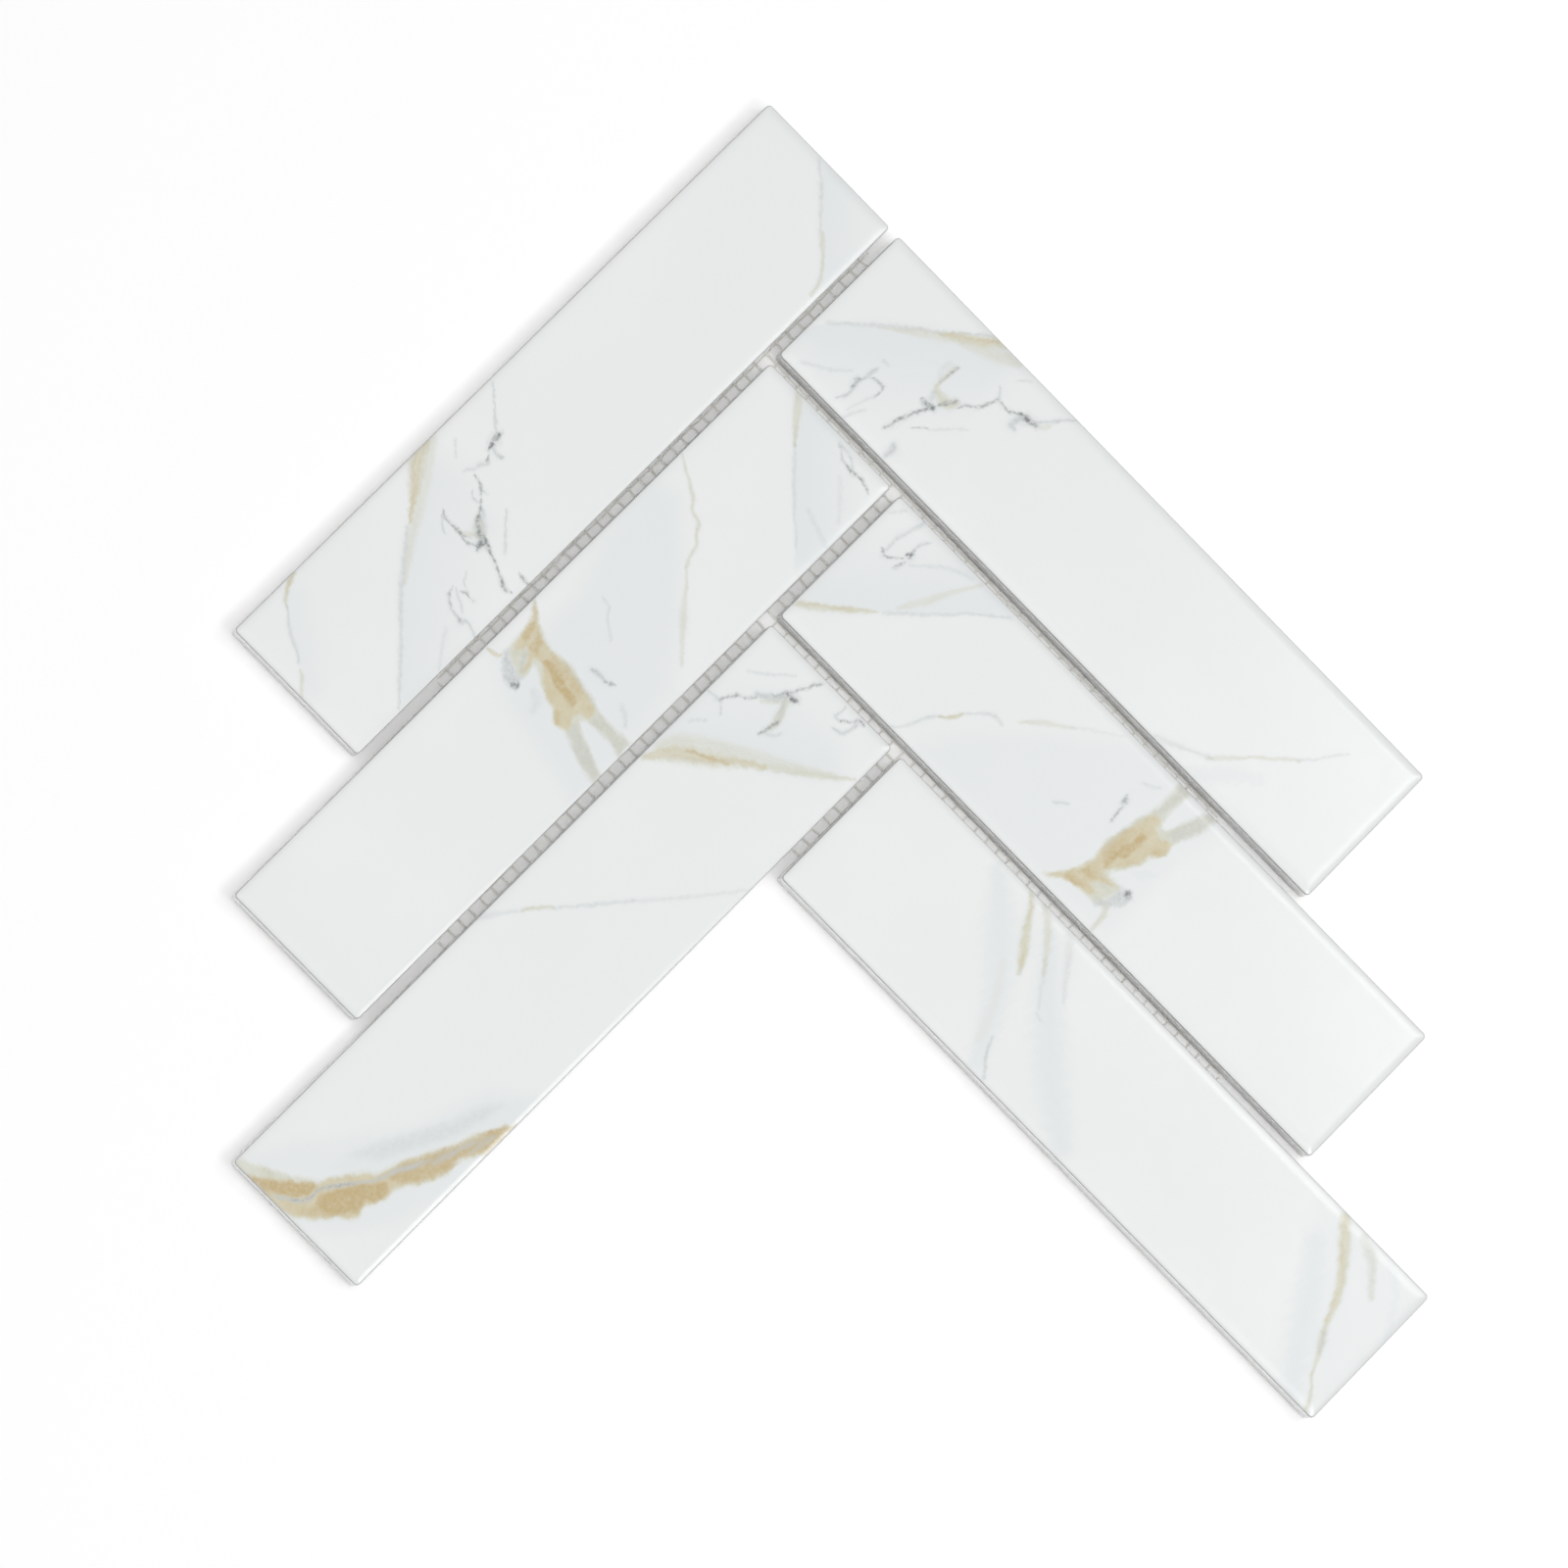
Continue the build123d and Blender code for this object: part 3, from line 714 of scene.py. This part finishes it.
def stroke_on(places, path, kind):
    """Amount of a stroke at each place, with how far along and across it the place lies."""
    starts, ends = path[:-1], path[1:]
    runs = (ends - starts)[:, :2]
    lengths = np.maximum(np.linalg.norm(runs, axis=1), SHORTEST_RUN)
    travelled = np.concatenate([[0.0], np.cumsum(lengths)[:-1]])
    offset, share, distance = near_runs(places, starts[:, :2], runs, lengths)
    nearest = distance.argmin(1)
    row = np.arange(len(places))
    offset, share, distance = offset[row, nearest], share[row, nearest], distance[row, nearest]
    along = travelled[nearest] + share * lengths[nearest]
    side = runs[nearest, 0] * offset[:, 1] - runs[nearest, 1] * offset[:, 0]
    across = np.where(side > 0, -distance, distance)
    width = starts[nearest, 2] + share * (ends[nearest, 2] - starts[nearest, 2])
    reach = np.maximum(width if "sided" in kind else width / 2, NARROWEST)
    amount = eased(np.clip((1 - distance / reach) / kind["fade"], 0.0, 1.0))
    if "sided" in kind:
        share_along = along / lengths.sum()
        amount = amount * np.clip(0.5 + across / SIDE_EDGE, 0.0, 1.0)
        amount = amount * np.clip(np.minimum(share_along, 1 - share_along) * SIDE_ENDS, 0.0, 1.0)
    return amount, along, across


def patch_on(places, outline, soft_edge):
    """Amount of a patch at each place: full inside its outline, and fading across it."""
    runs = np.roll(outline, -1, axis=0) - outline
    offset, _, distance = near_runs(places, outline, runs, np.linalg.norm(runs, axis=1))
    crosses = (offset[:, :, 1] >= 0) != (offset[:, :, 1] >= runs[:, 1])
    rise = np.where(runs[:, 1] == 0, TINY, runs[:, 1])
    on_right = offset[:, :, 0] < offset[:, :, 1] / rise * runs[:, 0]
    inside = (crosses & on_right).sum(1) % 2 == 1
    distance = distance.min(1)
    return eased(np.clip(0.5 + np.where(inside, distance, -distance) / soft_edge, 0.0, 1.0))


def photo_to_tile(node, points):
    """Points in photo pixels as points in millimetres from the middle of a tile."""
    corner, along_end, across_end = (np.array(place, float) for place in PHOTO_CORNERS[node])
    edges = np.column_stack([along_end - corner, across_end - corner])
    scale = TILE_LENGTH / np.linalg.norm(along_end - corner)
    placed = []
    for x, y, width in points:
        along, across = np.linalg.solve(edges, np.array([x, y]) - corner)
        placed.append(((along - 0.5) * TILE_LENGTH, (across - 0.5) * TILE_WIDTH, width * scale))
    return placed


def add_amount(layer, places, amount):
    """Lays more of a layer over what is already there."""
    layer[places] = 1 - (1 - layer[places]) * (1 - amount)


def places_around(places, shape, reach):
    """Which places lie within reach of the box round a shape's points."""
    low, high = shape.min(0) - reach, shape.max(0) + reach
    return np.flatnonzero(((places > low) & (places < high)).all(1))


def add_patches(node, places, amounts):
    """Lays the patches of a tile's print on its layers."""
    for layer, strength, soft_edge, *outline in PATCHES[node]:
        placed = np.array(outline, float) / PATCH_UNIT
        placed = np.column_stack([placed[:, 0] - TILE_LENGTH / 2, TILE_WIDTH / 2 - placed[:, 1]])
        soft = soft_edge / PATCH_UNIT
        near = places_around(places, placed, NEAR_WIDTHS * soft)
        wandered = wander(places[near], PATCH_WANDER)
        add_amount(amounts[layer], near, strength * patch_on(wandered, placed, soft))


def printed_layers(node, places):
    """Amount of every layer at each place of a tile's face, and the place along and across its vein."""
    amounts = {layer: np.zeros(len(places)) for layer in LAYERS}
    add_patches(node, places, amounts)
    vein_place = np.column_stack([places * STREAK_IN_PATCH, np.zeros(len(places))])
    strongest = np.zeros(len(places))
    for number, (kind_name, strength, *points) in enumerate(VEINS[node]):
        kind = STROKE_KINDS[kind_name]
        path = smooth_path(photo_to_tile(node, points))
        path[:, 2] *= kind["spread"]
        reach = NEAR_WIDTHS * path[:, 2].max() + NEAR_WANDERS * kind["wander"]
        near = places_around(places, path[:, :2], reach)
        if not len(near):
            continue
        wandered = wander(places[near], kind["wander"])
        amount, along, across = stroke_on(wandered, path, kind)
        amount = amount * strength
        share = GOLD_STROKE_SHARE if kind_name == "gold" else 1.0
        add_amount(amounts[kind["layer"]], near, amount * share)
        if "halo" in kind:
            halo_layer, wider, halo_share = kind["halo"]
            halo = stroke_on(wandered, path * np.array([1.0, 1.0, wider]), SOFT_HALO)[0]
            add_amount(amounts[halo_layer], near, halo * strength * halo_share)
        if kind["layer"] in STREAKED_LAYERS:
            stronger = amount > strongest[near]
            chosen = near[stronger]
            strongest[chosen] = amount[stronger]
            vein_place[chosen] = np.column_stack([
                along[stronger] * STREAK_ALONG, across[stronger] * STREAK_ACROSS,
                np.full(len(chosen), number * STREAK_APART),
            ])
    return amounts, vein_place


# Scene helpers
def add_object(name, data):
    added = bpy.data.objects.new(name, data)
    bpy.context.scene.collection.objects.link(added)
    return added


def shade_smooth(mesh, sharp_edge):
    """Shades a mesh smooth, except where its faces meet at more than an angle."""
    mesh.polygons.foreach_set("use_smooth", np.ones(len(mesh.polygons), bool))
    mesh.set_sharp_from_angle(angle=sharp_edge)


# Tiles
def edge_drop(inset):
    """How far the face lies below its flat middle at a distance in from the tile's edge."""
    out = np.clip(ROLL_WIDTH - inset, 0.0, None)
    roll = ROLL_RADIUS - np.sqrt(ROLL_RADIUS ** 2 - out ** 2)
    rim = np.clip(ARRIS_RADIUS - inset, 0.0, None)
    arris = ARRIS_RADIUS - np.sqrt(ARRIS_RADIUS ** 2 - rim ** 2)
    return np.maximum(roll, arris)


def grid_lines(half, fine_spans):
    """Lines of the face's grid across one direction, closer together at the edges and in fine spans."""
    edge = -half + np.array(EDGE_INSETS)
    lines = list(edge)
    last = half - EDGE_INSETS[-1]
    while lines[-1] < last:
        here = lines[-1]
        fine = any(start <= here <= end for start, end in fine_spans)
        lines.append(here + (FINE_STEP if fine else COARSE_STEP))
    while lines[-1] > last - FINE_STEP / 2:
        lines.pop()
    return np.array(lines + list(-edge[::-1]))


def thin_vein_spans(node):
    """Spans along a tile where thin vein strokes need the finer grid."""
    spans = []
    for kind_name, strength, *points in VEINS[node]:
        if min(width for x, y, width in points) < THIN_STROKE:
            along = [place[0] for place in photo_to_tile(node, points)]
            spans.append((min(along) - FINE_MARGIN, max(along) + FINE_MARGIN))
    return spans


def round_corners(places):
    """Draws the corners of a rectangular grid in to the tile's rounded plan."""
    middle = np.array([TILE_LENGTH / 2 - CORNER_RADIUS, TILE_WIDTH / 2 - CORNER_RADIUS])
    over = np.clip(np.abs(places) - middle, 0.0, None)
    longest = over.max(1)
    radius = np.maximum(np.linalg.norm(over, axis=1), TINY)
    in_corner = (over > 0).all(1)
    scale = np.where(in_corner, longest / radius, 1.0)
    return np.where(over > 0, np.sign(places) * (middle + over * scale[:, None]), places)


def tile_frame(node):
    """Where a tile lies: its underside's middle, turned so that X runs along it and Y across."""
    low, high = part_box(node)
    turn = UP_TO_RIGHT if "left" in node else DOWN_TO_RIGHT
    middle = Vector(((low.x + high.x) / 2, (low.y + high.y) / 2, low.z))
    return Matrix.Translation(middle) @ Matrix.Rotation(math.radians(turn), 4, "Z")


def face_points(along_inset, across_inset, plan):
    """Points of a tile's face on its plan: each place drops towards the edges that it is near."""
    along_drop = edge_drop(along_inset)
    across_drop = edge_drop(across_inset)
    drop = (along_drop ** HIP_BLEND + across_drop ** HIP_BLEND) ** (1 / HIP_BLEND)
    return np.column_stack([plan, TILE_THICKNESS - np.minimum(drop, ARRIS_RADIUS)])


def tile_shell(face, columns, rows):
    """Points of a whole tile, the polygons of its printed face, and those of its walls and back."""
    index = np.arange(columns * rows).reshape(columns, rows)
    corners = [index[:-1, :-1], index[1:, :-1], index[1:, 1:], index[:-1, 1:]]
    quads = np.stack(corners, axis=2).reshape(-1, 4)
    loop = np.concatenate([index[:, 0], index[-1, 1:], index[-2::-1, -1], index[0, -2:0:-1]])
    wall = face[loop]
    wall[:, 2] = BOTTOM_CHAMFER
    foot = wall.copy()
    foot[:, :2] *= 1 - BOTTOM_CHAMFER / np.array([TILE_LENGTH / 2, TILE_WIDTH / 2])
    foot[:, 2] = 0.0
    wall_row = len(face) + np.arange(len(loop))
    foot_row = wall_row + len(loop)
    next_loop, next_wall, next_foot = (np.roll(row, -1) for row in (loop, wall_row, foot_row))
    sides = np.column_stack([loop, wall_row, next_wall, next_loop])
    feet = np.column_stack([wall_row, foot_row, next_foot, next_wall])
    back = foot_row[::-1].tolist()
    points = np.vstack([face, wall, foot])
    return points, quads.tolist(), sides.tolist() + feet.tolist() + [back]


def set_layers(mesh, amounts, vein_place):
    """Stores the print and the painted edge shade on a mesh whose first points are the face's, and none of
    it on the others.
    """
    spare = len(mesh.vertices) - len(vein_place)
    for name, values in amounts.items():
        layer = mesh.attributes.new(name, "FLOAT", "POINT")
        layer.data.foreach_set("value", np.concatenate([values, np.zeros(spare)]).astype(np.float32))
    layer = mesh.attributes.new("vein_place", "FLOAT_VECTOR", "POINT")
    vectors = np.vstack([vein_place, np.zeros((spare, 3))])
    layer.data.foreach_set("vector", vectors.astype(np.float32).ravel())


def build_tile(node, face_material, body_material):
    across_lines = grid_lines(TILE_WIDTH / 2, [(-TILE_WIDTH, TILE_WIDTH)])
    along_lines = grid_lines(TILE_LENGTH / 2, thin_vein_spans(node))
    along, across = (values.ravel() for values in np.meshgrid(along_lines, across_lines, indexing="ij"))
    along_inset = TILE_LENGTH / 2 - np.abs(along)
    across_inset = TILE_WIDTH / 2 - np.abs(across)
    plan = round_corners(np.column_stack([along, across]))
    face = face_points(along_inset, across_inset, plan)
    points, face_quads, body_faces = tile_shell(face, len(along_lines), len(across_lines))

    mesh = bpy.data.meshes.new(node + "_dressed")
    mesh.from_pydata((points * MM).tolist(), [], face_quads + body_faces)
    mesh.transform(tile_frame(node))
    mesh.materials.append(face_material)
    mesh.materials.append(body_material)
    slots = [0] * len(face_quads) + [1] * len(body_faces)
    mesh.polygons.foreach_set("material_index", slots)
    shade_smooth(mesh, SHARP_EDGE)

    inset = np.minimum(along_inset, across_inset)
    amounts, vein_place = printed_layers(node, plan)
    # Painted shade: a faint darkening over the rolled rim of the face
    amounts["rim"] = RIM_SHADE_STRENGTH * np.clip(1 - inset / RIM_SHADE_WIDTH, 0.0, 1.0) ** 2
    # Painted shade: a dark line along the arris, where the edge curves away
    amounts["arris"] = np.clip(1 - (inset - ARRIS_SHADE_FULL) / ARRIS_SHADE_FADE, 0.0, 1.0)
    set_layers(mesh, amounts, vein_place)

    tile = add_object(node + "_dressed", mesh)
    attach(tile, "root")
    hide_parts(node)


# Backing mesh
def thread_runs(node, turn):
    """The middle line of every thread in a layer: its place across, and where it starts and ends along."""
    points = np.array([vertex.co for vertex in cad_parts[node].data.vertices], float) / MM
    angle = math.radians(turn)
    along = points[:, 0] * math.cos(angle) + points[:, 1] * math.sin(angle)
    across = points[:, 1] * math.cos(angle) - points[:, 0] * math.sin(angle)
    height = points[:, 2].mean()
    count = np.round((across - across.min()) / MESH_PITCH)
    runs = []
    for number in np.unique(count):
        chosen = count == number
        runs.append((across[chosen].mean(), along[chosen].min(), along[chosen].max(), height))
    return runs


def thread_shapes(node, turn):
    """Points and faces of all the threads in a layer, as they lie before the layer is turned."""
    random = np.random.default_rng(turn + THREAD_SEED)
    points, faces = [], []
    for across, start, end, height in thread_runs(node, turn):
        steps = max(2, round((end - start) / THREAD_STEP))
        phase = random.uniform(0, math.tau)
        wavelength = random.uniform(*THREAD_WAVES)
        first = len(points)
        for step in range(steps + 1):
            along = start + (end - start) * step / steps
            ease = min(1.0, min(step, steps - step) / THREAD_EASE_STEPS)
            side = across + ease * THREAD_WANDER * math.sin(along * math.tau / wavelength + phase)
            for corner in range(THREAD_SIDES):
                around = math.tau * (corner + 0.5) / THREAD_SIDES
                reach = THREAD_HALF_WIDTH * math.cos(around)
                rise = THREAD_HALF_HEIGHT * math.sin(around)
                points.append((along, side + reach, height + rise))
        for step in range(steps):
            for corner in range(THREAD_SIDES):
                near = first + step * THREAD_SIDES + corner
                beside = first + step * THREAD_SIDES + (corner + 1) % THREAD_SIDES
                faces.append((near, near + THREAD_SIDES, beside + THREAD_SIDES, beside))
        faces.append(tuple(range(first, first + THREAD_SIDES)))
        faces.append(tuple(range(len(points) - 1, len(points) - THREAD_SIDES - 1, -1)))
    return points, faces


def build_threads(node, turn, material):
    points, faces = thread_shapes(node, turn)
    mesh = bpy.data.meshes.new(node + "_dressed")
    mesh.from_pydata([tuple(value * MM for value in point) for point in points], [], faces)
    mesh.transform(Matrix.Rotation(math.radians(turn), 4, "Z"))
    mesh.materials.append(material)
    shade_smooth(mesh, THREAD_SHARP_EDGE)
    threads = add_object(node + "_dressed", mesh)
    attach(threads, "root")
    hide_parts(node)


# Floor, light and camera
def build_floor():
    half = FLOOR_SIZE / 2
    corners = [(-half, -half, 0), (half, -half, 0), (half, half, 0), (-half, half, 0)]
    mesh = bpy.data.meshes.new("floor")
    mesh.from_pydata(corners, [], [(0, 1, 2, 3)])
    mesh.materials.append(white_floor())
    floor = add_object("floor", mesh)
    floor.location.z = -FLOOR_GAP


def light_room():
    world = bpy.data.worlds.new("even_room")
    world.use_nodes = True
    tree = world.node_tree
    background = tree.nodes["Background"]
    background.inputs["Color"].default_value = (1.0, 1.0, 1.0, 1.0)
    direction = add_node(tree, "ShaderNodeTexCoord").outputs["Generated"]
    upward = add_node(tree, "ShaderNodeSeparateXYZ", {"Vector": direction}).outputs["Z"]
    upward = calculate(tree, "MAXIMUM", upward, 0.0)
    ceiling = calculate(tree, "MULTIPLY", calculate(tree, "POWER", upward, CEILING_FALLOFF), CEILING_GLOW)
    walls = calculate(tree, "MULTIPLY", calculate(tree, "SUBTRACT", 1.0, upward), WALL_GLOW)
    glow = calculate(tree, "ADD", ceiling, walls)
    seen = add_node(tree, "ShaderNodeLightPath").outputs["Is Camera Ray"]
    tree.links.new(calculate(tree, "MAXIMUM", glow, seen), background.inputs["Strength"])
    bpy.context.scene.world = world


def hang_soft_box(name, place, size, power):
    lamp = bpy.data.lights.new(name, "AREA")
    lamp.shape = "RECTANGLE"
    lamp.size, lamp.size_y = size
    lamp.energy = power
    box = add_object(name, lamp)
    box.location = place
    box.rotation_euler = (-Vector(place)).to_track_quat("-Z", "Y").to_euler()


def set_camera():
    lens = bpy.data.cameras.new("camera")
    lens.lens = CAMERA_LENS
    lens.sensor_width = CAMERA_SENSOR
    lens.clip_start, lens.clip_end = CAMERA_REACH
    camera = add_object("camera", lens)
    back = -Vector(CAMERA_LOOK).normalized()
    right = Vector(CAMERA_UP).cross(back).normalized()
    up = back.cross(right)
    turn = Matrix((right, up, back)).transposed()
    camera.matrix_world = Matrix.Translation(CAMERA_PLACE) @ turn.to_4x4()
    bpy.context.scene.camera = camera


face_glass = printed_glass()
body_glass = bare_glass()
for tile_node in PHOTO_CORNERS:
    build_tile(tile_node, face_glass, body_glass)
thread_coat = mesh_thread()
build_threads("mesh_lower_threads", UP_TO_RIGHT, thread_coat)
build_threads("mesh_upper_threads", DOWN_TO_RIGHT, thread_coat)
build_floor()
light_room()
for soft_box in SOFT_BOXES:
    hang_soft_box(**soft_box)
set_camera()
bpy.context.scene.view_settings.view_transform = "Standard"
